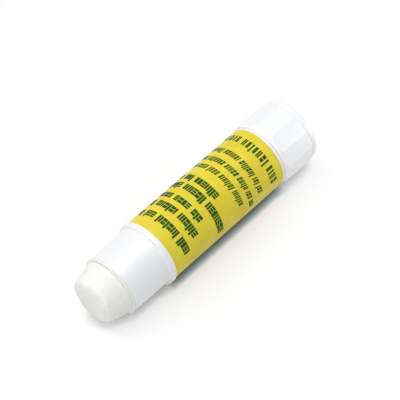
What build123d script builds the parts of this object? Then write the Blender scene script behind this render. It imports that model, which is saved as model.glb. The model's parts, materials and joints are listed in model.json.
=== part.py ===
from build123d import *
from math import cos, pi
import os

# A glue stick with its cap off, lying on its side. All sizes are in millimetres.
# Each piece is first made upright: its axis is Z, Z = 0 is the label's front edge, and the knob is at +Z.
# The last step lays it down: the axis runs along X at the height of the shoulder ring, the glue at -X.
# Angles round the axis are in degrees, from +Y over the top (+Z) of the lying stick.

# Clearances
running_clearance = 0.08
glue_clearance = 0.12
rib_clearance = 0.15
thread_clearance = 0.12
thread_backlash = 0.25
end_clearance = 0.2
cut_overrun = 1.0

# Label: its radius and length drive the size of the whole stick
label_radius = 8.8
label_length = 39.3
label_thickness = 0.12
label_seam_gap = 0.4
label_seam_angle = 265

# Barrel, outside, from the mouth back to the knob
lip_chamfer = 0.22
neck_length = 12.05
neck_taper_length = 4.2
neck_taper_depth = 0.11
neck_step = 0.52
ring_step = 0.3
ring_width = 1.55
ring_chamfer = 0.15
flange_width = 0.72

# Barrel, inside
neck_wall = 0.55
bulkhead_thickness = 1.6
spigot_step = 1.5
spigot_wall = 0.9
spigot_length = 5.0
rib_height = 0.55
rib_width = 0.9
rib_set_back = 1.5
rib_angles = (225, 315)

# Spindle
thread_lead = 4.0
thread_crest_radius = 2.35
thread_depth = 0.75
thread_flank_angle = 14
spindle_tip_depth = 4.6
spindle_tip_chamfer = 0.5
journal_step = 0.25
collar_step = 1.6
collar_thickness = 1.0
tail_step = 0.6
tail_sides = 6

# Carrier
carrier_floor = 1.2
cup_depth = 5.0
cup_wall = 1.2
cup_lip_chamfer = 0.3
nut_wall = 1.35

# Glue
tip_taper_length = 6.1
tip_taper_depth = 1.36
tip_edge_length = 0.75
tip_edge_depth = 2.85
tip_crown = 0.2
bore_end_gap = 0.5

# Knob
knob_gap = 0.08
knob_length = 12.0
facet_count = 12
knob_collar_length = 1.1
facet_bevel_length = 1.9
groove_width = 0.4
groove_depth = 0.35
rim_width = 1.4
rim_step = 0.1
rim_edge_radius = 0.45
rim_face_width = 2.65
knob_chamfer = 0.15
knob_end_thickness = 1.6
hub_wall = 2.3
hub_end_wall = 3.2
dish_depth = 0.5

# How far the glue draws back into the mouth, and how far inside it the carrier stops on its way out
glue_retract_depth = 0.75
carrier_stop_depth = 2.0

# Radii of the barrel and the label
barrel_radius = label_radius - label_thickness
ring_radius = label_radius + ring_step
neck_radius = label_radius - neck_step
mouth_radius = neck_radius - neck_taper_depth
bore_radius = neck_radius - neck_wall
rib_inner_radius = bore_radius - rib_height
spigot_radius = label_radius - spigot_step
spigot_bore_radius = spigot_radius - spigot_wall

# Radii of the spindle and its bearing
thread_core_radius = thread_crest_radius - thread_depth
journal_radius = thread_crest_radius + journal_step
bearing_radius = journal_radius + running_clearance
collar_radius = journal_radius + collar_step
tail_flat_distance = journal_radius - tail_step

# Radii of the carrier and the glue
carrier_radius = bore_radius - running_clearance
cup_inner_radius = carrier_radius - cup_wall
nut_radius = thread_crest_radius + nut_wall
rib_slot_radius = rib_inner_radius - rib_clearance
rib_slot_width = rib_width + 2 * rib_clearance
glue_radius = bore_radius - glue_clearance
glue_bore_radius = thread_crest_radius + 2 * thread_clearance
tip_shoulder_radius = glue_radius - tip_taper_depth
tip_face_radius = tip_shoulder_radius - tip_edge_depth

# Radii of the knob: its flats lie as far from the axis as the shoulder ring, so the stick lies level
facet_distance = ring_radius
facet_corner_radius = facet_distance / cos(pi / facet_count)
groove_radius = facet_distance - groove_depth
rim_radius = facet_distance - rim_step
dish_radius = rim_radius - rim_face_width
cavity_radius = spigot_radius + running_clearance
hub_radius = tail_flat_distance + hub_wall

# Places along the axis of the barrel and the glue's tip
ring_front = -ring_width
mouth = ring_front - neck_length
tip_shoulder = mouth - tip_taper_length
tip_face = tip_shoulder - tip_edge_length
glue_tip = tip_face - tip_crown
retract_travel = mouth - glue_tip + glue_retract_depth
barrel_end = label_length + flange_width
bulkhead_front = barrel_end - bulkhead_thickness
spigot_end = barrel_end + spigot_length

# Places along the axis of the knob, the spindle and the carrier
knob_front = barrel_end + knob_gap
knob_end = knob_front + knob_length
rim_front = knob_end - rim_width
groove_front = rim_front - groove_width
cavity_end = knob_end - knob_end_thickness
hub_front = knob_front + end_clearance
tail_end = cavity_end - hub_end_wall
collar_front = bulkhead_front - end_clearance - collar_thickness
spindle_tip = mouth + spindle_tip_depth
carrier_rear = collar_front - end_clearance - retract_travel
cup_bottom = carrier_rear - carrier_floor
cup_rim = cup_bottom - cup_depth
glue_bore_end = spindle_tip - retract_travel - bore_end_gap
advance_travel = cup_rim - mouth - carrier_stop_depth


def turned(*points):
    """A solid turned about Z from an outline of (radius, place along the axis) points."""
    outline = Polyline(*[(radius, 0, place) for radius, place in points], close=True)
    return revolve(make_face(outline), axis=Axis.Z)


def tube(outer, inner, start, end):
    """A plain tube between two places along the axis."""
    return turned((inner, start), (outer, start), (outer, end), (inner, end))


def key_bar(inner, outer, width, start, end, angle):
    """A straight bar along the axis, standing between two radii at an angle round it."""
    bar = Box(outer - inner, width, end - start, align=(Align.MIN, Align.CENTER, Align.MIN))
    return Rot(0, 0, angle) * Pos(inner, 0, start) * bar


def thread_section(core_radius, crest_radius, ridge_width):
    """The flat section of a one-start thread: a core circle with one wide lobe."""
    half = 180 * ridge_width / thread_lead
    lean = thread_flank_angle / 2
    crest = CenterArc((0, 0), crest_radius, lean - half, 2 * (half - lean))
    core = CenterArc((0, 0), core_radius, half + lean, 360 - 2 * (half + lean))
    flanks = [Line(crest @ 1, core @ 0), Line(core @ 1, crest @ 0)]
    return make_face([crest, flanks[0], core, flanks[1]])


def thread(core_radius, crest_radius, ridge_width, start, end):
    """The thread's section twisted along the axis; two threads with one start are in step."""
    path = Line((0, 0, start), (0, 0, end))
    guide = Helix(pitch=thread_lead, height=end - start, radius=thread_crest_radius, center=(0, 0, start))
    section = Pos(0, 0, start) * thread_section(core_radius, crest_radius, ridge_width)
    return sweep(section, path=path, binormal=guide)


def make_barrel():
    """The moulded tube: thin neck, shoulder ring, label seat, bulkhead with its bearing, and spigot."""
    shell = turned(
        (bore_radius, mouth),
        (mouth_radius - lip_chamfer, mouth),
        (mouth_radius, mouth + lip_chamfer),
        (neck_radius, mouth + neck_taper_length),
        (neck_radius, ring_front),
        (ring_radius - ring_chamfer, ring_front),
        (ring_radius, ring_front + ring_chamfer),
        (ring_radius, -ring_chamfer),
        (ring_radius - ring_chamfer, 0),
        (barrel_radius, 0),
        (barrel_radius, label_length),
        (label_radius, label_length),
        (label_radius, barrel_end),
        (spigot_radius, barrel_end),
        (spigot_radius, spigot_end),
        (spigot_bore_radius, spigot_end),
        (spigot_bore_radius, barrel_end),
        (bearing_radius, barrel_end),
        (bearing_radius, bulkhead_front),
        (bore_radius, bulkhead_front),
    )
    rib_root = (bore_radius + mouth_radius) / 2
    for angle in rib_angles:
        shell += key_bar(rib_inner_radius, rib_root, rib_width, mouth + rib_set_back, bulkhead_front, angle)
    return shell


def make_label():
    """The printed wrap, with the narrow gap where its two ends meet."""
    wrap = tube(label_radius, barrel_radius, 0, label_length)
    seam = key_bar(barrel_radius - cut_overrun, label_radius + cut_overrun, label_seam_gap,
                   -cut_overrun, label_length + cut_overrun, label_seam_angle)
    return wrap - seam


def make_spindle():
    """The lead screw, with the collar that takes the push, the journal and the hexagonal tail."""
    ridge_width = thread_lead / 2 - thread_backlash
    screw = thread(thread_core_radius, thread_crest_radius, ridge_width, spindle_tip, collar_front)
    point = turned(
        (0, spindle_tip),
        (thread_crest_radius - spindle_tip_chamfer, spindle_tip),
        (thread_crest_radius + cut_overrun, spindle_tip + spindle_tip_chamfer + cut_overrun),
        (thread_crest_radius + cut_overrun, collar_front),
        (0, collar_front),
    )
    journal = turned(
        (0, collar_front),
        (collar_radius, collar_front),
        (collar_radius, collar_front + collar_thickness),
        (journal_radius, collar_front + collar_thickness),
        (journal_radius, hub_front),
        (0, hub_front),
    )
    return (screw & point) + journal + tail(hub_front, tail_end)


def tail(start, end):
    """The spindle's hexagonal end, and the matching socket in the knob."""
    hexagon = RegularPolygon(tail_flat_distance, tail_sides, major_radius=False)
    return Pos(0, 0, start) * extrude(hexagon, amount=end - start)


def make_carrier():
    """The cup that pushes the glue, with its threaded boss and the two slots that keep it from turning."""
    cup = turned(
        (0, carrier_rear),
        (carrier_radius, carrier_rear),
        (carrier_radius, cup_rim + cup_lip_chamfer),
        (carrier_radius - cup_lip_chamfer, cup_rim),
        (cup_inner_radius, cup_rim),
        (cup_inner_radius, cup_bottom),
        (nut_radius, cup_bottom),
        (nut_radius, cup_rim),
        (0, cup_rim),
    )
    cup -= thread(
        thread_core_radius + thread_clearance,
        thread_crest_radius + thread_clearance,
        thread_lead / 2 + thread_backlash,
        spindle_tip,
        collar_front,
    )
    for angle in rib_angles:
        cup -= key_bar(rib_slot_radius, bore_radius, rib_slot_width,
                       cup_rim - cut_overrun, carrier_rear + cut_overrun, angle)
    return cup


def make_glue():
    """The cast glue: a tapered, worn tip, grooves that clear the ribs, and a bore for the spindle."""
    with BuildLine(Plane.XZ) as outline:
        Line((0, glue_tip), (0, cup_bottom))
        Polyline((0, cup_bottom), (cup_inner_radius, cup_bottom), (cup_inner_radius, cup_rim),
                 (glue_radius, cup_rim), (glue_radius, mouth), (tip_shoulder_radius, tip_shoulder))
        Spline((tip_shoulder_radius, tip_shoulder), (tip_face_radius, tip_face),
               tangents=[(tip_shoulder_radius - glue_radius, -tip_taper_length), (-1, 0)])
        Spline((tip_face_radius, tip_face), (0, glue_tip), tangents=[(-1, 0), (-1, 0)])
    stick = revolve(make_face(outline.line), axis=Axis.Z)
    stick -= turned((0, glue_bore_end), (glue_bore_radius, glue_bore_end), (glue_bore_radius, cup_rim),
                    (nut_radius, cup_rim), (nut_radius, cup_bottom), (0, cup_bottom))
    for angle in rib_angles:
        stick -= key_bar(rib_slot_radius, bore_radius, rib_slot_width, glue_tip - cut_overrun, cup_rim, angle)
    return stick


def make_knob():
    """The turning knob: faceted grip, groove and round end rim outside; hub and running cavity inside."""
    facets = RegularPolygon(facet_distance, facet_count, major_radius=False, rotation=180 / facet_count)
    grip_start = knob_front + knob_collar_length
    bevel_height = facet_corner_radius - facet_distance
    grip = Pos(0, 0, knob_front) * extrude(facets, amount=groove_front - knob_front)
    grip &= turned(
        (0, knob_front),
        (facet_distance - knob_chamfer, knob_front),
        (facet_distance, knob_front + knob_chamfer),
        (facet_distance, grip_start),
        (facet_distance + bevel_height, grip_start + facet_bevel_length),
        (facet_distance + bevel_height, groove_front - bevel_height),
        (facet_distance, groove_front),
        (0, groove_front),
    )
    with BuildLine(Plane.XZ) as outline:
        Polyline((0, knob_end), (0, groove_front), (groove_radius, groove_front), (groove_radius, rim_front),
                 (rim_radius - knob_chamfer, rim_front), (rim_radius, rim_front + knob_chamfer),
                 (rim_radius, knob_end - rim_edge_radius))
        RadiusArc((rim_radius, knob_end - rim_edge_radius), (rim_radius - rim_edge_radius, knob_end),
                  rim_edge_radius)
        Line((rim_radius - rim_edge_radius, knob_end), (0, knob_end))
    rim = revolve(make_face(outline.line), axis=Axis.Z)
    knob = grip + rim
    knob -= tube(cavity_radius, hub_radius, knob_front, cavity_end)
    knob -= turned((0, knob_front), (hub_radius, knob_front), (hub_radius, hub_front), (0, hub_front))
    knob -= tail(hub_front, tail_end + end_clearance)
    dish_floor_radius = dish_radius - dish_depth
    knob -= turned((0, knob_end - dish_depth), (dish_floor_radius, knob_end - dish_depth),
                   (dish_radius, knob_end), (0, knob_end))
    return knob


def laid_down(piece):
    """Turns an upright piece into the lying stick's place, centred on the origin and on the table."""
    middle = (glue_tip + knob_end) / 2
    lying = Plane(origin=(-middle, 0, ring_radius), x_dir=(0, 1, 0), z_dir=(1, 0, 0))
    return lying.location * piece


makers = {
    "barrel": make_barrel,
    "label": make_label,
    "turning_knob": make_knob,
    "spindle": make_spindle,
    "glue_carrier": make_carrier,
    "glue": make_glue,
}

os.makedirs("parts", exist_ok=True)
for name, make in makers.items():
    export_step(laid_down(make()), f"parts/{name}.step")

print("carrier travel, back and forward", retract_travel, advance_travel)
print("knob turns, back and forward", retract_travel / thread_lead, advance_travel / thread_lead)
print("travel per radian of the knob", thread_lead / (2 * pi))
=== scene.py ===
"""A glue stick with its cap off, lying on a pale table: white tube and knob, yellow label, worn glue."""
import json
import random
from math import atan2, ceil, cos, hypot, pi, radians, sin

import bmesh
import bpy
from mathutils import Euler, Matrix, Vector, noise


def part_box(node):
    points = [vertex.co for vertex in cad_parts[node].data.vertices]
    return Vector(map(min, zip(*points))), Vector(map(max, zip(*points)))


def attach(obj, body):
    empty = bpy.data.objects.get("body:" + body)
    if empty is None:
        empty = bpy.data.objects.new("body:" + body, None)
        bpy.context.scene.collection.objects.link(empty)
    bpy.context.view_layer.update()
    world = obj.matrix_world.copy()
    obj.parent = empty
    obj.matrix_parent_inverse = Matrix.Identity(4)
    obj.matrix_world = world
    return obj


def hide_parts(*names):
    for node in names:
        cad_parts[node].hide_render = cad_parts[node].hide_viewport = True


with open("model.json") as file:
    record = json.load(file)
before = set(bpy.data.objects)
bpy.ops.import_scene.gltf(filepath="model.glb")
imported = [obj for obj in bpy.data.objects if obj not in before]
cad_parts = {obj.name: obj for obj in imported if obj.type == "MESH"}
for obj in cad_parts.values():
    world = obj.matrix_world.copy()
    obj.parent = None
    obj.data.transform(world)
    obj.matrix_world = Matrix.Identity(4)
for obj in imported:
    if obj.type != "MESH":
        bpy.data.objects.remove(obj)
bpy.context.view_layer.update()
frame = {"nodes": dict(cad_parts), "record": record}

mm = 0.001
full_turn = 2 * pi
merge_distance = 0.002 * mm
ring_tolerance = 0.02 * mm
edge_segments = 3
edge_profile = 0.5
level_weight = 50
grid_half_size = 0.5

# Places and radii that the frame gives
barrel_low, barrel_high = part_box("barrel")
label_low, label_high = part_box("label")
knob_low, knob_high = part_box("turning_knob")
glue_low, glue_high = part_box("glue")
carrier_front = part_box("glue_carrier")[0].x
mount_of = {mount["name"]: mount for mount in frame["record"]["mounts"]}

axis_height = (barrel_low.z + barrel_high.z) / 2
axis_point = Vector((0, 0, axis_height))
axis_way = Vector((1, 0, 0))
ring_radius = (barrel_high.z - barrel_low.z) / 2
label_radius = (label_high.y - label_low.y) / 2
neck_radius = mount_of["cap_neck"]["dims"]["r_mm"] * mm
mouth = barrel_low.x
label_front = label_low.x
label_back = label_high.x
label_length = label_back - label_front

# Barrel
label_thickness = 0.12 * mm
ring_width = 1.55 * mm
ring_edge_radius = 0.38 * mm
ring_root_radius = 0.3 * mm
ring_back_edge_radius = 0.1 * mm
flange_width = 0.72 * mm
neck_taper_length = 4.2 * mm
neck_taper_depth = 0.11 * mm
neck_wall = 0.55 * mm
mouth_radius = neck_radius - neck_taper_depth
bore_radius = neck_radius - neck_wall
lip_edge_radius = 0.16 * mm
barrel_end = label_back + flange_width
bulkhead_thickness = 1.6 * mm
bearing_radius = 2.68 * mm
spigot_step = 1.5 * mm
spigot_radius = label_radius - spigot_step
spigot_wall = 0.9 * mm
spigot_edge_radius = 0.15 * mm
rib_height = 0.55 * mm
rib_set_back = 1.5 * mm
rib_angles = (radians(225), radians(315))
rib_half_steps = 2
barrel_steps = 200
close_edge_radius = 0.025 * mm

# Knob
facet_count = 12
facet_distance = ring_radius
facet_corner_radius = facet_distance / cos(pi / facet_count)
facet_edge_sharpness = 200
knob_steps = 240
collar_gap = 0.02 * mm
collar_edge_radius = 0.14 * mm
knob_collar_length = 0.6 * mm
facet_run_in = 0.9 * mm
facet_run_in_steps = 8
facet_run_out = 0.35 * mm
groove_width = 0.4 * mm
groove_depth = 0.2 * mm
rim_width = 1.4 * mm
rim_step = 0.1 * mm
rim_radius = facet_distance - rim_step
rim_edge_radius = 0.45 * mm
rim_edge_segments = 6
groove_edge_radius = 0.1 * mm
knob_end_thickness = 1.6 * mm
spigot_gap = 0.08 * mm
cavity_radius = spigot_radius + spigot_gap
hub_radius = 4.3 * mm
hub_set_back = 0.2 * mm
hub_end_wall = 3.0 * mm
socket_radius = 2.35 * mm
dish_radius = 6.35 * mm
dish_depth = 0.5 * mm
dish_edge_radius = 0.16 * mm
gate_mark_radius = 0.7 * mm
gate_mark_height = 0.25 * mm
gate_mark_top_share = 0.8

# Glue
glue_gap = 0.03 * mm
glue_radius = bore_radius - glue_gap
glue_foot_radius = 6.4 * mm
nut_clearance_radius = 3.78 * mm
spindle_bore_radius = 2.62 * mm
spindle_bore_end = -33.0 * mm
tip_taper_length = 5.75 * mm
tip_straight_length = 0.5 * mm
tip_shoulder_radius = 6.35 * mm
tip_face_radius = 3.0 * mm
tip_crown = 0.2 * mm
tip_rounding_steps = 16
face_ring_count = 5
glue_steps = 240
glue_ring_spacing = 0.25 * mm
inside_ring_count = 8
rib_slot_half_width = 0.62 * mm
rib_slot_depth = 0.68 * mm
rib_slot_run_out = 0.12 * mm
lump_depth = 0.16 * mm
lump_size = 2.9 * mm
pit_depth = 0.05 * mm
pit_size = 0.9 * mm

# Ring of dried glue on the mouth's lip, whose thin end bites into the glue
residue_thickness = 0.04 * mm
residue_rise = 0.45 * mm
residue_bend = residue_rise / 3
residue_bite = 0.09 * mm
residue_reach = 0.3 * mm
residue_swelling = 0.15 * mm
residue_patch_size = 1.6 * mm
drip_angle = radians(200)
drip_narrowness = 8
residue_steps = 180

# Label film: its end is lapped over its start on the side that faces away
film_thickness = 0.06 * mm
film_fullness = 0.9
film_gap = 0.03 * mm
lap_angle = radians(-42)
lap_width = radians(14)
lap_run = lap_width / 4
film_steps = 260

# Print: the plain marks that fill its rows, each a few blocks as shares of the mark's width and height
mark_shares = {
    "tall_bar": [(0.0, 0.0, 1.0, 1.0)],
    "short_bar": [(0.0, 0.0, 1.0, 0.78)],
    "pair": [(0.0, 0.0, 0.43, 0.78), (0.57, 0.0, 1.0, 0.78)],
    "stack": [(0.0, 0.0, 1.0, 0.23), (0.0, 0.28, 1.0, 0.5), (0.0, 0.55, 1.0, 0.78)],
    "halves": [(0.0, 0.0, 1.0, 0.36), (0.0, 0.42, 1.0, 0.78)],
    "block": [(0.0, 0.0, 1.0, 0.78)],
}
mark_width_shares = {
    "tall_bar": 0.5, "short_bar": 0.5, "pair": 1.0, "stack": 1.0, "halves": 1.0, "block": 0.8}
word_lengths = (3, 7)
word_gap_share = 0.75
print_seed = 7
print_thickness = 0.03 * mm
print_sink = 0.01 * mm
print_bend_step = 0.4 * mm

# Kinds of row: width of a full mark, gap between marks, lean
bold = (1.2 * mm, 0.12 * mm, 0.0)
fine = (0.7 * mm, 0.19 * mm, -0.28)
medium = (0.95 * mm, 0.5 * mm, 0.0)

# Rows: first and last angle from -Y upwards, top and bottom as shares of the label's length, kind
row_shares = [
    (radians(20), radians(196), 0.078, 0.142, bold),
    (radians(34), radians(176), 0.180, 0.244, bold),
    (radians(48), radians(190), 0.268, 0.326, bold),
    (radians(4), radians(182), 0.368, 0.434, bold),
    (radians(59), radians(170), 0.452, 0.514, bold),
    (radians(19), radians(188), 0.580, 0.630, fine),
    (radians(-2), radians(179), 0.662, 0.712, fine),
    (radians(11), radians(184), 0.752, 0.802, fine),
    (radians(10), radians(150), 0.866, 0.938, medium),
]

# Surfaces: gloss, refraction and depths
plastic_gloss = 0.8
film_gloss = 0.3
ink_gloss = 0.1
plastic_ior = 1.49
film_ior = 1.48
glue_ior = 1.45
skin_coat = 1.0
skin_roughness = 0.4
skin_grain_depth = 0.004 * mm
film_grain_depth = 0.003 * mm
glue_smear_depth = 0.05 * mm
glue_glow = 0.15
glue_glow_depth = 0.8 * mm
glue_glow_shares = (1.0, 1.0, 0.85)

# Skins: clouds to a mm, grains to a mm, roughness, spread of the roughness
plastic_skin = (0.12, 4, 0.42, 0.35)
film_skin = (0.2, 7, 0.42, 0.3)
ink_skin = (0.5, 9, 0.4, 0.3)
glue_skin = (0.22, 2.2, 0.5, 0.5)
cloud_detail = 3.0
cloud_limits = (0.35, 0.7)
grain_detail = 4.0

# Wear: how many features to a mm, how fine they break up, and the limits of the noise that shows
ring_fineness = 6
ring_detail = 2.0
ring_limits = (0.58, 0.75)
patch_fineness = 0.3
patch_detail = 2.0
patch_limits = (0.45, 0.65)
scuff_fineness = 0.35
scuff_detail = 1.0
scuff_limits = (0.68, 0.74)
scuff_slants = ((radians(24), 14), (radians(-37), 18))
plastic_scuffs = 0.6
film_scuffs = 0.4
wear_dulling = 0.12
wear_depth_share = 0.6
film_dulling = 0.15
roller_fineness = 1.4
roller_detail = 2.0
roller_limits = (0.5, 0.8)
roller_stretch = (0.02, 1, 1)
roller_paleness = 0.25
speck_fineness = 5
speck_detail = 3.0
speck_limits = (0.66, 0.74)
speck_thinness = 0.5
smear_fineness = 1.6
smear_detail = 3.0
smear_slant = radians(28)
smear_stretch = (1, 0.12, 1)
smear_depth_share = 2.0

# Colours
white = (1, 1, 1, 1)
label_yellow = (0.88, 0.74, 0.045)
label_shade = (0.82, 0.655, 0.035)
label_pale = (0.91, 0.82, 0.16)
ink_dark = (0.015, 0.08, 0.006)
ink_green = (0.028, 0.16, 0.009)
glue_pale = (0.95, 0.96, 0.91)
glue_shade = (0.91, 0.925, 0.86)

# White plastics: colour, shade, refraction of the polished skin
barrel_look = ((0.92, 0.93, 0.945), (0.89, 0.90, 0.92), 1.95)
knob_look = ((0.95, 0.96, 0.98), (0.93, 0.94, 0.965), 2.3)
inner_look = ((0.83, 0.84, 0.83), (0.78, 0.79, 0.78), 1.5)

# Table: its tone, the painted shadow where the stick comes close to it, and where it turns white
floor_half_size = 3.0
floor_bounce = 0.6
floor_lift = 0.46
# Painted contact shadow: occlusion close to the stick darkens the table's colour and glow, deeper and
# cooler beside the label
contact_distance = 3.45 * mm
contact_samples = 16
painted_shadow_depth = 0.8
painted_shadow_depth_by_label = 1.75
painted_shadow_coolness_by_label = 0.15
shade_blend = 3 * mm
white_narrowing = 0.35
white_from = 9 * mm
white_by = 27 * mm

# Light: the world's share of white, then each lamp's way, distance, size and brightness
world_brightness = 0.43
overhead_lamp = ((0, 0, 1), 600 * mm, 500 * mm, 0.29)
key_lamp = ((-0.3, 0.6, 0.72), 600 * mm, 400 * mm, 0.3)
side_lamp = ((0.6, -0.7, 0.35), 55 * mm, 40 * mm, 0.15)
front_lamp = ((-0.75, -0.6, 0.3), 60 * mm, 40 * mm, 0.18)

# Camera, fitted to the photograph: its place from the middle of the label's front edge
camera_offset = Vector((-156.38, -162.30, 334.09)) * mm
camera_azimuth = radians(-47.05)
camera_elevation = radians(54.23)
camera_lens = 148.67
camera_sensor = 36.0
camera_near = 10 * mm


def make_camera():
    data = bpy.data.cameras.new("camera")
    data.lens = camera_lens
    data.sensor_width = camera_sensor
    data.clip_start = camera_near
    camera = bpy.data.objects.new("camera", data)
    camera.location = Vector((label_front, 0, axis_height)) + camera_offset
    camera.rotation_euler = Euler((pi / 2 - camera_elevation, 0, camera_azimuth))
    bpy.context.scene.collection.objects.link(camera)
    bpy.context.scene.camera = camera


# Round shapes about the stick's axis

def polar(x, radius, angle):
    """A point round the stick's axis, its angle from +Y over the top."""
    return Vector((x, radius * cos(angle), axis_height + radius * sin(angle)))


def angle_of(point):
    return atan2(point.z - axis_height, point.y) % full_turn


def radius_of(point):
    return hypot(point.y, point.z - axis_height)


def set_radius(vert, radius):
    """Moves a vertex straight towards the axis or away from it."""
    vert.co = polar(vert.co.x, radius, angle_of(vert.co))


def eased(share):
    """Runs from 0 to 1 with a soft start and end."""
    share = max(0.0, min(1.0, share))
    return share * share * (3 - 2 * share)


def turned(outline, steps):
    """A closed mesh turned about the axis from a closed outline of (x, radius) points."""
    mesh = bmesh.new()
    corners = [mesh.verts.new(polar(x, radius, 0)) for x, radius in outline]
    sides = [mesh.edges.new(pair) for pair in zip(corners, corners[1:] + corners[:1])]
    bmesh.ops.spin(mesh, geom=corners + sides, cent=axis_point, axis=axis_way, angle=full_turn,
                   steps=steps, use_merge=True)
    bmesh.ops.remove_doubles(mesh, verts=mesh.verts[:], dist=merge_distance)
    bmesh.ops.dissolve_degenerate(mesh, edges=mesh.edges[:], dist=merge_distance / 2)
    bmesh.ops.recalc_face_normals(mesh, faces=mesh.faces[:])
    return mesh


def round_ring(mesh, x, radius, width, segments=edge_segments):
    """Rounds the circular edge that lies at that place and radius."""
    def is_there(vert):
        return abs(vert.co.x - x) < ring_tolerance and abs(radius_of(vert.co) - radius) < ring_tolerance

    ring = [edge for edge in mesh.edges if all(is_there(vert) for vert in edge.verts)]
    bmesh.ops.bevel(mesh, geom=ring, offset=width, offset_type="OFFSET", segments=segments,
                    profile=edge_profile, affect="EDGES", material=-1, clamp_overlap=True)


def finished(name, mesh, body, material, stands_for=()):
    """Turns a bmesh into a named piece with smooth faces, riding on its body."""
    data = bpy.data.meshes.new(name)
    mesh.to_mesh(data)
    mesh.free()
    data.shade_smooth()
    data.materials.append(material)
    piece = bpy.data.objects.new(name, data)
    bpy.context.scene.collection.objects.link(piece)
    level = piece.modifiers.new("level_normals", "WEIGHTED_NORMAL")
    level.mode = "FACE_AREA"
    level.weight = level_weight
    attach(piece, body)
    if stands_for:
        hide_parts(*stands_for)
    return piece


def make_barrel(material):
    """The moulded tube: neck, shoulder ring, label seat, bulkhead with its bearing, spigot and ribs."""
    seat_radius = label_radius - label_thickness
    ring_front = label_front - ring_width
    bulkhead = barrel_end - bulkhead_thickness
    spigot_inner_radius = spigot_radius - spigot_wall
    mesh = turned([
        (mouth, bore_radius), (mouth, mouth_radius),
        (mouth + neck_taper_length, neck_radius), (ring_front, neck_radius),
        (ring_front, ring_radius), (label_front, ring_radius),
        (label_front, seat_radius), (label_back, seat_radius),
        (label_back, label_radius), (barrel_end, label_radius),
        (barrel_end, spigot_radius), (barrel_high.x, spigot_radius),
        (barrel_high.x, spigot_inner_radius), (barrel_end, spigot_inner_radius),
        (barrel_end, bearing_radius), (bulkhead, bearing_radius),
        (bulkhead, bore_radius), (mouth + rib_set_back, bore_radius),
    ], barrel_steps)
    raise_ribs(mesh, mouth + rib_set_back, bulkhead)
    for x, radius, width in (
        (mouth, mouth_radius, lip_edge_radius),
        (mouth, bore_radius, lip_edge_radius),
        (ring_front, neck_radius, ring_root_radius),
        (ring_front, ring_radius, ring_edge_radius),
        (label_front, ring_radius, ring_back_edge_radius),
        (label_back, label_radius, close_edge_radius),
        (barrel_end, label_radius, close_edge_radius),
        (barrel_high.x, spigot_radius, spigot_edge_radius),
        (barrel_high.x, spigot_inner_radius, spigot_edge_radius),
    ):
        round_ring(mesh, x, radius, width)
    return finished("barrel_shell", mesh, "barrel", material, ["barrel"])


def raise_ribs(mesh, start, end):
    """Draws the two ribs out of the bore's wall."""
    half_width = rib_half_steps * full_turn / barrel_steps
    for rib_angle in rib_angles:
        wall = [face for face in mesh.faces
                if abs(radius_of(face.calc_center_median()) - bore_radius) < ring_tolerance
                and start < face.calc_center_median().x < end
                and abs(angle_of(face.calc_center_median()) - rib_angle) < half_width]
        drawn = bmesh.ops.extrude_face_region(mesh, geom=wall)["geom"]
        bmesh.ops.delete(mesh, geom=wall, context="FACES")
        for vert in (item for item in drawn if isinstance(item, bmesh.types.BMVert)):
            set_radius(vert, radius_of(vert.co) - rib_height)


def flat_limit(angle):
    """The radius at which the twelve flats lie, with their shared edges slightly rounded."""
    step = full_turn / facet_count
    from_flat = (angle + step / 2) % step - step / 2
    nearest = [cos(from_flat + step * k) for k in (-1, 0, 1)]
    blended = sum(max(value, 0) ** facet_edge_sharpness for value in nearest) ** (1 / facet_edge_sharpness)
    return facet_distance / blended


def make_knob(material):
    """The turning knob: round collar, twelve flats, groove and round end rim, with a hub in a hollow."""
    front, end = barrel_end + collar_gap, knob_high.x
    rim_front = end - rim_width
    groove_front = rim_front - groove_width
    groove_radius = facet_distance - groove_depth
    flats_start = front + knob_collar_length
    cavity_end = end - knob_end_thickness
    gate_top = end - dish_depth + gate_mark_height
    corner_rise = facet_corner_radius - facet_distance
    run_in = [(flats_start + facet_run_in * k / facet_run_in_steps,
               facet_distance + corner_rise * eased(k / facet_run_in_steps))
              for k in range(facet_run_in_steps + 1)]
    mesh = turned([
        (front, cavity_radius), (front, facet_distance), *run_in,
        (groove_front - facet_run_out, facet_corner_radius), (groove_front, facet_distance),
        (groove_front, groove_radius), (rim_front, groove_radius),
        (rim_front, rim_radius), (end, rim_radius),
        (end, dish_radius), (end - dish_depth, dish_radius - dish_depth),
        (end - dish_depth, gate_mark_radius),
        (gate_top, gate_mark_radius * gate_mark_top_share), (gate_top, 0),
        (end - hub_end_wall, 0), (end - hub_end_wall, socket_radius),
        (front + hub_set_back, socket_radius), (front + hub_set_back, hub_radius),
        (cavity_end, hub_radius), (cavity_end, cavity_radius),
    ], knob_steps)
    for vert in mesh.verts:
        if front < vert.co.x < groove_front + groove_width / 2 and radius_of(vert.co) > facet_distance:
            set_radius(vert, min(radius_of(vert.co), flat_limit(angle_of(vert.co))))
    for x, radius, width, segments in (
        (front, facet_distance, collar_edge_radius, edge_segments),
        (groove_front, facet_distance, groove_edge_radius, edge_segments),
        (rim_front, rim_radius, groove_edge_radius, edge_segments),
        (end, rim_radius, rim_edge_radius, rim_edge_segments),
        (end, dish_radius, dish_edge_radius, edge_segments),
        (end - dish_depth, dish_radius - dish_depth, dish_edge_radius, edge_segments),
    ):
        round_ring(mesh, x, radius, width, segments)
    return finished("knob_shell", mesh, "knob", material, ["turning_knob"])


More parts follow.
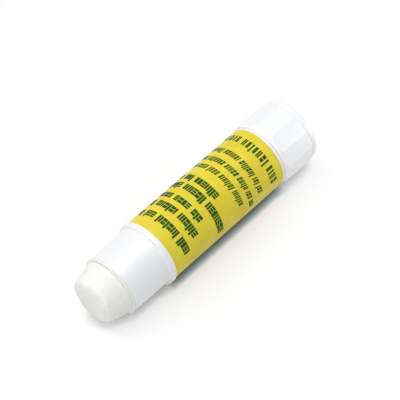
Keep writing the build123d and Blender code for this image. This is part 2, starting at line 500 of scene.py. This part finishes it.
def glue_profile():
    """The (x, radius) outline of the glue, from the middle of its worn face back to its foot and bore."""
    shoulder = mouth - tip_taper_length
    face_edge = glue_low.x + tip_crown
    rounding = [(shoulder - (shoulder - face_edge) * sin(turn),
                 tip_face_radius + (tip_shoulder_radius - tip_face_radius) * cos(turn))
                for turn in (pi / 2 * k / tip_rounding_steps for k in range(tip_rounding_steps + 1))]
    across = [(glue_low.x + tip_crown * eased(share), tip_face_radius * share)
              for share in (k / face_ring_count for k in range(face_ring_count))]
    taper_end = mouth - tip_straight_length
    ring_count = int(tip_taper_length / glue_ring_spacing)
    taper = [(shoulder + (taper_end - shoulder) * k / ring_count,
              tip_shoulder_radius + (glue_radius - tip_shoulder_radius) * k / ring_count)
             for k in range(1, ring_count + 1)]
    inside = [(taper_end + glue_ring_spacing * k, glue_radius) for k in range(1, inside_ring_count + 1)]
    foot = [
        (carrier_front, glue_radius), (carrier_front, glue_foot_radius), (glue_high.x, glue_foot_radius),
        (glue_high.x, nut_clearance_radius), (carrier_front, nut_clearance_radius),
        (carrier_front, spindle_bore_radius), (spindle_bore_end, spindle_bore_radius),
        (spindle_bore_end, 0),
    ]
    return across + rounding[::-1] + taper + inside + foot


def is_outside(place):
    """Whether a point of the glue is on its outer skin, not in the spindle's bore."""
    return radius_of(place) > spindle_bore_radius + glue_gap or place.x < spindle_bore_end - lump_size / 2


def make_glue(material):
    """The cast glue with its worn, slightly lumpy tip and the two slots that the ribs run in."""
    mesh = turned(glue_profile(), glue_steps)
    for vert in mesh.verts:
        radius = radius_of(vert.co)
        if is_outside(vert.co) and radius > rib_slot_depth and vert.co.x < carrier_front:
            sideways = min(abs(angle_of(vert.co) - rib_angle) for rib_angle in rib_angles) * radius
            slot = eased((rib_slot_half_width + rib_slot_run_out - sideways) / rib_slot_run_out)
            set_radius(vert, radius + (min(radius, glue_radius - rib_slot_depth) - radius) * slot)
    wear_tip(mesh)
    return finished("glue_stick", mesh, "carriage", material, ["glue"])


def wear_tip(mesh):
    """Presses lumps and rubbing marks into the part of the glue that stands out of the mouth."""
    mesh.normal_update()
    for vert in mesh.verts:
        out = (mouth - vert.co.x) / tip_taper_length
        if out > 0 and is_outside(vert.co):
            lump = noise.noise(vert.co / lump_size) * lump_depth
            pit = noise.noise(vert.co / pit_size) * pit_depth
            vert.co += vert.normal * (lump + pit) * min(1.0, out * 2)


def make_residue(material):
    """A thin film of dried glue on the mouth's lip, thicker in patches."""
    inner = bore_radius - glue_gap / 2
    outer = mouth_radius + residue_thickness / 2
    middle = (inner + outer) / 2
    in_the_wall = mouth + lip_edge_radius
    mesh = turned([
        (mouth + lip_edge_radius * 2, inner), (mouth, inner), (mouth - residue_rise, inner - residue_bite),
        (mouth - residue_bend, middle), (mouth, outer), (mouth + residue_reach, outer),
        (mouth + residue_reach, mouth_radius - lip_edge_radius), (in_the_wall, middle),
    ], residue_steps)
    mesh.normal_update()
    for vert in mesh.verts:
        if radius_of(vert.co) > middle - ring_tolerance and vert.co.x < mouth + residue_reach / 2:
            drip = max(0.0, cos(angle_of(vert.co) - drip_angle)) ** drip_narrowness
            swelling = max(0.0, noise.noise(vert.co / residue_patch_size) + drip)
            vert.co += vert.normal * swelling * residue_swelling
    return finished("glue_residue", mesh, "barrel", material)


def make_label(material):
    """The printed film: one strip wrapped round its seat, with its end lapped over its start."""
    mesh = bmesh.new()
    bmesh.ops.create_grid(mesh, x_segments=film_steps, y_segments=2, size=grid_half_size)
    middle = (label_front + label_back) / 2
    for vert in mesh.verts:
        turn = (vert.co.x + grid_half_size) * (full_turn + lap_width)
        dip = 1 - eased((turn - lap_width) / lap_run)
        vert.co = polar(middle + vert.co.y * (label_length - 2 * film_gap),
                        label_radius - film_thickness * dip, lap_angle - turn)
    bmesh.ops.recalc_face_normals(mesh, faces=mesh.faces[:])
    outwards = sum((face.calc_center_median() - axis_point).dot(face.normal) for face in mesh.faces)
    if outwards < 0:
        bmesh.ops.reverse_faces(mesh, faces=mesh.faces[:])
    bmesh.ops.solidify(mesh, geom=mesh.faces[:], thickness=film_thickness * film_fullness)
    bmesh.ops.recalc_face_normals(mesh, faces=mesh.faces[:])
    return finished("label_film", mesh, "barrel", material, ["label"])


def lay_block(mesh, left, bottom, width, height, lean, lean_from):
    """One block of a mark, laid out flat: x runs round the label, y runs along it."""
    steps = max(1, ceil(width / print_bend_step))
    grid = bmesh.ops.create_grid(mesh, x_segments=steps, y_segments=1, size=grid_half_size)
    for vert in grid["verts"]:
        across = left + (vert.co.x + grid_half_size) * width
        along = bottom + (vert.co.y + grid_half_size) * height
        vert.co = Vector((across + (along - lean_from) * lean, along, 0))


def make_print(material):
    """Rows of plain marks in groups, wrapped round the label in the places of its print."""
    mesh = bmesh.new()
    draw = random.Random(print_seed)
    for first_angle, last_angle, top_share, bottom_share, (mark_width, gap, lean) in row_shares:
        top, bottom = label_length * top_share, label_length * bottom_share
        across, last = label_radius * first_angle, label_radius * last_angle
        while across < last:
            for _ in range(draw.randint(*word_lengths)):
                kind = draw.choice(list(mark_shares))
                width = mark_width * mark_width_shares[kind]
                for x0, y0, x1, y1 in mark_shares[kind]:
                    lay_block(mesh, across + width * x0, bottom - (bottom - top) * y1, width * (x1 - x0),
                              (bottom - top) * (y1 - y0), lean, bottom)
                across += width + gap
            across += mark_width * word_gap_share
    wrap_on_label(mesh)
    return finished("label_print", mesh, "barrel", material)


def wrap_on_label(mesh):
    """Makes the flat marks solid and bends them round the label, which turns their faces over."""
    mesh.normal_update()
    bmesh.ops.solidify(mesh, geom=mesh.faces[:], thickness=print_thickness)
    lowest = min(vert.co.z for vert in mesh.verts)
    for vert in mesh.verts:
        across, along, up = vert.co
        height = up - lowest - print_sink
        vert.co = polar(label_front + along, label_radius + height, pi - across / label_radius)
    bmesh.ops.reverse_faces(mesh, faces=mesh.faces[:])


# Nodes: the short forms that the materials, the table and the world share

colour_socket = "NodeSocketColor"
number_socket = "NodeSocketFloat"


def add_node(tree, kind, inputs=None, **settings):
    """A new node with its settings made, and its inputs set to a value or wired to an output."""
    node = tree.nodes.new("ShaderNode" + kind)
    for name, setting in settings.items():
        setattr(node, name, setting)
    for socket, value in (inputs or {}).items():
        if isinstance(value, bpy.types.NodeSocket):
            tree.links.new(value, node.inputs[socket])
        else:
            node.inputs[socket].default_value = value
    return node


def math_node(tree, operation, *values):
    """The result of an operation on numbers and other nodes' outputs."""
    return add_node(tree, "Math", dict(enumerate(values)), operation=operation).outputs[0]


def noise_node(tree, place, scale, detail):
    return add_node(tree, "TexNoise", {"Vector": place, "Scale": scale, "Detail": detail}).outputs["Fac"]


def share_node(tree, value, limits, least=0.0, most=1.0):
    """Runs from least to most while the value runs from the first limit to the second."""
    first, second = limits
    inputs = {"Value": value, "From Min": first, "From Max": second, "To Min": least, "To Max": most}
    return add_node(tree, "MapRange", inputs).outputs[0]


def blend_node(tree, share, first, second):
    """The first colour where the share is 0 and the second where it is 1."""
    inputs = {"Factor": share, "A": first, "B": second}
    return add_node(tree, "Mix", inputs, data_type="RGBA").outputs["Result"]


def object_place(tree):
    return add_node(tree, "TexCoord").outputs["Object"]


def along_stick(tree):
    return add_node(tree, "SeparateXYZ", {"Vector": object_place(tree)}).outputs["X"]


def per_mm(count):
    """A texture scale that gives that many features to a millimetre."""
    return count / mm


# Shared effects

def start_group(name, takes, gives):
    """A shared effect: an empty node group with its inputs, each at its usual value, and its outputs."""
    group = bpy.data.node_groups.new(name, "ShaderNodeTree")
    for title, kind, value in takes:
        group.interface.new_socket(title, in_out="INPUT", socket_type=kind).default_value = value
    for title, kind in gives:
        group.interface.new_socket(title, in_out="OUTPUT", socket_type=kind)
    return group, group.nodes.new("NodeGroupInput").outputs, group.nodes.new("NodeGroupOutput").inputs


def make_skin_group():
    """Moulded or coated skin: broad cloudy shade, fine grain and uneven gloss."""
    clouds, grains, roughness, spread = plastic_skin
    group, given, result = start_group(
        "moulded_skin",
        [("Colour", colour_socket, white), ("Shade", colour_socket, white),
         ("Cloud Scale", number_socket, per_mm(clouds)), ("Grain Scale", number_socket, per_mm(grains)),
         ("Roughness", number_socket, roughness), ("Roughness Spread", number_socket, spread)],
        [("Colour", colour_socket), ("Roughness", number_socket), ("Height", number_socket)])
    place = object_place(group)
    cloud = noise_node(group, place, given["Cloud Scale"], cloud_detail)
    grain = noise_node(group, place, given["Grain Scale"], grain_detail)
    depth = share_node(group, cloud, cloud_limits)
    uneven = math_node(group, "SUBTRACT", cloud, grain)
    gloss = math_node(group, "MULTIPLY_ADD", uneven, given["Roughness Spread"], given["Roughness"])
    group.links.new(blend_node(group, depth, given["Colour"], given["Shade"]), result["Colour"])
    group.links.new(gloss, result["Roughness"])
    group.links.new(grain, result["Height"])
    return group


def make_rub_group():
    """Fine rings rubbed round the stick by its cap and by fingers, in patches."""
    group, given, result = start_group(
        "rubbed_rings",
        [("Ring Scale", number_socket, per_mm(ring_fineness)),
         ("Patch Scale", number_socket, per_mm(patch_fineness))],
        [("Mask", number_socket)])
    wave = {"W": along_stick(group), "Scale": given["Ring Scale"], "Detail": ring_detail}
    rings = add_node(group, "TexNoise", wave, noise_dimensions="1D").outputs["Fac"]
    patches = noise_node(group, object_place(group), given["Patch Scale"], patch_detail)
    thin = share_node(group, rings, ring_limits)
    held = share_node(group, patches, patch_limits)
    group.links.new(math_node(group, "MULTIPLY", thin, held), result["Mask"])
    return group


def make_scuff_group():
    """Short thin scratches that cross the surface at two slants."""
    group, given, result = start_group(
        "scuffs",
        [("Scale", number_socket, per_mm(scuff_fineness)), ("Amount", number_socket, plastic_scuffs)],
        [("Mask", number_socket)])
    place = object_place(group)
    slants = []
    for slant, stretch in scuff_slants:
        turning = {"Vector": place, "Rotation": (slant, slant / 2, slant), "Scale": (1, stretch, stretch)}
        slanted = add_node(group, "Mapping", turning).outputs[0]
        streaks = noise_node(group, slanted, given["Scale"], scuff_detail)
        slants.append(share_node(group, streaks, scuff_limits))
    both = math_node(group, "MAXIMUM", *slants)
    group.links.new(math_node(group, "MULTIPLY", both, given["Amount"]), result["Mask"])
    return group


def place_group(tree, group, **inputs):
    """A shared effect placed in a material. Its inputs are set by name with _ for a space."""
    node = tree.nodes.new("ShaderNodeGroup")
    node.node_tree = group
    for name, value in inputs.items():
        node.inputs[name.replace("_", " ")].default_value = value
    return node.outputs


def place_skin(tree, colour, shade, skin):
    """The moulded skin in a material, with its two colours and its clouds, grains and roughness."""
    clouds, grains, roughness, spread = skin
    return place_group(
        tree, moulded_skin, Colour=(*colour, 1), Shade=(*shade, 1), Cloud_Scale=per_mm(clouds),
        Grain_Scale=per_mm(grains), Roughness=roughness, Roughness_Spread=spread)


# Materials

def start_material(name, **constants):
    """A new material with its shader, whose constant sockets are set by name with _ for a space."""
    material = bpy.data.materials.new(name)
    material.use_nodes = True
    tree = material.node_tree
    shader = tree.nodes["Principled BSDF"]
    for socket, value in constants.items():
        shader.inputs[socket.replace("_", " ")].default_value = value
    return material, tree, shader


def dress(tree, shader, colour, roughness, height, depth):
    """Gives a shader its colour, its roughness and a bump of that depth."""
    bump = add_node(tree, "Bump", {"Height": height, "Distance": depth}).outputs["Normal"]
    for socket, output in (("Base Color", colour), ("Roughness", roughness), ("Normal", bump)):
        tree.links.new(output, shader.inputs[socket])


def moulded_plastic(name, colour, shade, skin_ior):
    """Satin white plastic: cloudy, finely grained, with a polished skin, rubbed rings and scuffs."""
    material, tree, shader = start_material(
        name, IOR=plastic_ior, Specular_IOR_Level=plastic_gloss, Coat_Weight=skin_coat,
        Coat_Roughness=skin_roughness, Coat_IOR=skin_ior)
    skin = place_skin(tree, colour, shade, plastic_skin)
    rings = place_group(tree, rubbed_rings)
    scratches = place_group(tree, scuffs, Amount=plastic_scuffs)
    worn = math_node(tree, "MAXIMUM", rings["Mask"], scratches["Mask"])
    duller = math_node(tree, "MULTIPLY_ADD", worn, wear_dulling, skin["Roughness"])
    lower = math_node(tree, "MULTIPLY_ADD", worn, -wear_depth_share, skin["Height"])
    dress(tree, shader, skin["Colour"], duller, lower, skin_grain_depth)
    return material


def label_plastic():
    """Yellow printed film: soft clouds of ink, faint roller streaks along the stick and a light gloss."""
    material, tree, shader = start_material("label_film", IOR=film_ior, Specular_IOR_Level=film_gloss)
    skin = place_skin(tree, label_yellow, label_shade, film_skin)
    scratches = place_group(tree, scuffs, Amount=film_scuffs)
    stretching = {"Vector": object_place(tree), "Scale": roller_stretch}
    stretched = add_node(tree, "Mapping", stretching).outputs[0]
    streaks = noise_node(tree, stretched, per_mm(roller_fineness), roller_detail)
    paler = share_node(tree, streaks, roller_limits, most=roller_paleness)
    colour = blend_node(tree, paler, skin["Colour"], (*label_pale, 1))
    duller = math_node(tree, "MULTIPLY_ADD", scratches["Mask"], film_dulling, skin["Roughness"])
    dress(tree, shader, colour, duller, skin["Height"], film_grain_depth)
    return material


def printed_ink():
    """Dark green ink, thinner in specks."""
    material, tree, shader = start_material("green_ink", IOR=film_ior, Specular_IOR_Level=ink_gloss)
    skin = place_skin(tree, ink_dark, ink_green, ink_skin)
    specks = noise_node(tree, object_place(tree), per_mm(speck_fineness), speck_detail)
    thin = share_node(tree, specks, speck_limits, most=speck_thinness)
    colour = blend_node(tree, thin, skin["Colour"], (*label_shade, 1))
    dress(tree, shader, colour, skin["Roughness"], skin["Height"], film_grain_depth)
    return material


def waxy_glue():
    """Pale translucent glue: cloudy, smeared where it was rubbed on paper, with fine pits."""
    material, tree, shader = start_material(
        "waxy_glue", IOR=glue_ior, Specular_IOR_Level=plastic_gloss, Subsurface_Weight=glue_glow,
        Subsurface_Radius=glue_glow_shares, Subsurface_Scale=glue_glow_depth)
    skin = place_skin(tree, glue_pale, glue_shade, glue_skin)
    rubbing = {"Vector": object_place(tree), "Rotation": (smear_slant, 0, 0), "Scale": smear_stretch}
    rubbed = add_node(tree, "Mapping", rubbing).outputs[0]
    smears = noise_node(tree, rubbed, per_mm(smear_fineness), smear_detail)
    height = math_node(tree, "MULTIPLY_ADD", smears, smear_depth_share, skin["Height"])
    dress(tree, shader, skin["Colour"], skin["Roughness"], height, glue_smear_depth)
    return material


# Table and light

def seen_directly(tree):
    """One where a ray comes from the camera, a reflection or a clear piece, and zero elsewhere."""
    path = add_node(tree, "LightPath").outputs
    mirrored = math_node(tree, "MAXIMUM", path["Is Camera Ray"], path["Is Glossy Ray"])
    return math_node(tree, "MAXIMUM", mirrored, path["Is Transmission Ray"])


def painted_contact_shadow(tree):
    """White with a painted shadow: darker where the stick comes close to the table, deeper and cooler
    beside the label.
    """
    closeness = add_node(tree, "AmbientOcclusion", {"Distance": contact_distance}, samples=contact_samples)
    along = along_stick(tree)
    starts = share_node(tree, along, (label_front, label_front + shade_blend))
    ends = share_node(tree, along, (label_back, label_back + shade_blend), least=1.0, most=0.0)
    by_label = math_node(tree, "MULTIPLY", starts, ends)
    depth = math_node(tree, "MULTIPLY_ADD", by_label, painted_shadow_depth_by_label, painted_shadow_depth)
    coolness = math_node(tree, "MULTIPLY_ADD", by_label, painted_shadow_coolness_by_label, 1.0)
    painted_shadow = math_node(tree, "POWER", closeness.outputs["AO"], depth)
    red = math_node(tree, "POWER", painted_shadow, coolness)
    return add_node(tree, "CombineXYZ", {"X": red, "Y": painted_shadow, "Z": painted_shadow}).outputs[0]


def distance_from_stick(tree):
    """How far a point of the table is from the stick's middle, counted less along the stick."""
    narrowing = {0: object_place(tree), 1: (white_narrowing, 1, 1)}
    beside = add_node(tree, "VectorMath", narrowing, operation="MULTIPLY").outputs[0]
    return add_node(tree, "VectorMath", {0: beside}, operation="LENGTH").outputs["Value"]


def floor_material():
    """A pale table that keeps the stick's soft shadow, adds a painted contact shadow to its colour and
    glow, and turns plain white further out.
    """
    material = bpy.data.materials.new("pale_floor")
    material.use_nodes = True
    tree = material.node_tree
    tree.nodes.remove(tree.nodes["Principled BSDF"])
    seen = seen_directly(tree)
    # shade holds the painted contact shadow, which darkens both the table's colour and its glow
    shade = painted_contact_shadow(tree)
    tone = add_node(tree, "VectorMath", {0: shade, "Scale": floor_bounce}, operation="SCALE").outputs[0]
    table = add_node(tree, "BsdfDiffuse", {"Color": tone}).outputs[0]
    strength = math_node(tree, "MULTIPLY", seen, floor_lift)
    lift = add_node(tree, "Emission", {"Color": shade, "Strength": strength}).outputs[0]
    near = add_node(tree, "AddShader", {0: table, 1: lift}).outputs[0]
    outwards = share_node(tree, distance_from_stick(tree), (white_from, white_by))
    far = math_node(tree, "MULTIPLY", outwards, seen)
    plain_white = add_node(tree, "Emission").outputs[0]
    both = add_node(tree, "MixShader", {0: far, 1: near, 2: plain_white}).outputs[0]
    tree.links.new(both, tree.nodes["Material Output"].inputs["Surface"])
    return material


def make_floor():
    mesh = bmesh.new()
    bmesh.ops.create_grid(mesh, x_segments=1, y_segments=1, size=floor_half_size)
    data = bpy.data.meshes.new("floor")
    mesh.to_mesh(data)
    mesh.free()
    data.materials.append(floor_material())
    floor = bpy.data.objects.new("floor", data)
    bpy.context.scene.collection.objects.link(floor)


def soft_light(name, target, way, distance, size, brightness):
    """A round lamp that gives a surface at the target that faces it that share of a plain level."""
    data = bpy.data.lights.new(name, "AREA")
    data.shape = "DISK"
    data.size = size
    data.energy = brightness * pi ** 2 * (distance ** 2 + (size / 2) ** 2)
    light = bpy.data.objects.new(name, data)
    light.location = target + Vector(way).normalized() * distance
    light.rotation_euler = Vector(way).to_track_quat("Z", "Y").to_euler()
    light.visible_camera = False
    bpy.context.scene.collection.objects.link(light)


def make_world():
    """Even light all round, which is plain white where it is seen directly."""
    world = bpy.data.worlds.new("studio")
    world.use_nodes = True
    tree = world.node_tree
    strength = share_node(tree, seen_directly(tree), (0, 1), least=world_brightness)
    background = tree.nodes["Background"]
    background.inputs["Color"].default_value = white
    tree.links.new(strength, background.inputs["Strength"])
    bpy.context.scene.world = world


make_camera()

moulded_skin = make_skin_group()
rubbed_rings = make_rub_group()
scuffs = make_scuff_group()

barrel_plastic = moulded_plastic("barrel_plastic", *barrel_look)
knob_plastic = moulded_plastic("knob_plastic", *knob_look)
inner_plastic = moulded_plastic("inner_plastic", *inner_look)
glue_material = waxy_glue()

make_barrel(barrel_plastic)
make_knob(knob_plastic)
make_label(label_plastic())
make_print(printed_ink())
make_glue(glue_material)
make_residue(glue_material)
for node_name in ("spindle", "glue_carrier"):
    data = frame["nodes"][node_name].data
    data.materials.clear()
    data.materials.append(inner_plastic)

make_floor()
knob_middle = Vector(((knob_low.x + knob_high.x) / 2, 0, axis_height))
glue_tip = Vector((glue_low.x, 0, axis_height))
soft_light("overhead", axis_point, *overhead_lamp)
soft_light("key", axis_point, *key_lamp)
soft_light("side", knob_middle, *side_lamp)
soft_light("front", glue_tip, *front_lamp)
make_world()
bpy.context.scene.view_settings.view_transform = "Standard"
